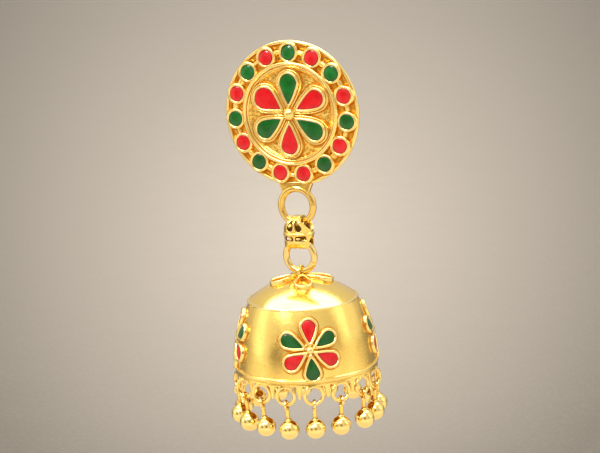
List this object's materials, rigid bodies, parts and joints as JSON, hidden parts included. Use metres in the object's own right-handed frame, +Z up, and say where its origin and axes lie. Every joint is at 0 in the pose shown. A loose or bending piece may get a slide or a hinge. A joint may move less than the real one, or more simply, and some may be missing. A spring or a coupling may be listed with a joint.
{
  "type": "jhumka earring",
  "caption": "Bell-shaped drop earring: domed round stud, openwork link and ring, and a hollow bell with enamelled flowers and small ball drops.",
  "frame": {"origin": "on the ear post's axis, in the plane of the stud's back face, where the earlobe sits", "axes": "+Z up, the stud faces -Y and its post points along +Y; the drop hangs down -Z"},
  "size_m": [0.0245, 0.0245, 0.0591],
  "materials": {
    "gilt_metal": "polished gilt, slightly worn",
    "enamel_red": "glossy fused enamel",
    "enamel_green": "glossy fused enamel"
  },
  "bodies": {
    "stud": {"stud_dots_green": "enamel_green", "stud_dots_red": "enamel_red", "stud_petals_green": "enamel_green", "stud_petals_red": "enamel_red", "stud_plate": "gilt_metal", "ear_post": "gilt_metal"},
    "link": {"link": "gilt_metal"},
    "ring": {"jump_ring": "gilt_metal"},
    "bell": {"bell": "gilt_metal", "bell_back_green": "enamel_green", "bell_back_red": "enamel_red", "bell_front_green": "enamel_green", "bell_front_red": "enamel_red", "bell_left_green": "enamel_green", "bell_left_red": "enamel_red", "bell_right_green": "enamel_green", "bell_right_red": "enamel_red", "ghungroo_01": "gilt_metal", "ghungroo_02": "gilt_metal", "ghungroo_03": "gilt_metal", "ghungroo_04": "gilt_metal", "ghungroo_05": "gilt_metal", "ghungroo_06": "gilt_metal", "ghungroo_07": "gilt_metal", "ghungroo_08": "gilt_metal", "ghungroo_09": "gilt_metal", "ghungroo_10": "gilt_metal", "ghungroo_11": "gilt_metal", "ghungroo_12": "gilt_metal", "ghungroo_13": "gilt_metal", "ghungroo_14": "gilt_metal", "ghungroo_15": "gilt_metal", "ghungroo_16": "gilt_metal"}
  },
  "joints": [
    {"name": "link_swing", "type": "hinge", "parent": "stud", "child": "link", "pos_m": [0, -0.00056, -0.01692], "axis": [1, 0, 0], "range_deg": [-50, 50]},
    {"name": "ring_roll", "type": "hinge", "parent": "link", "child": "ring", "pos_m": [0, -0.00056, -0.02215], "axis": [0, 1, 0], "range_deg": [-40, 40]},
    {"name": "bell_swing", "type": "hinge", "parent": "ring", "child": "bell", "pos_m": [0, -0.00056, -0.02451], "axis": [1, 0, 0], "range_deg": [-55, 55]}
  ]
}
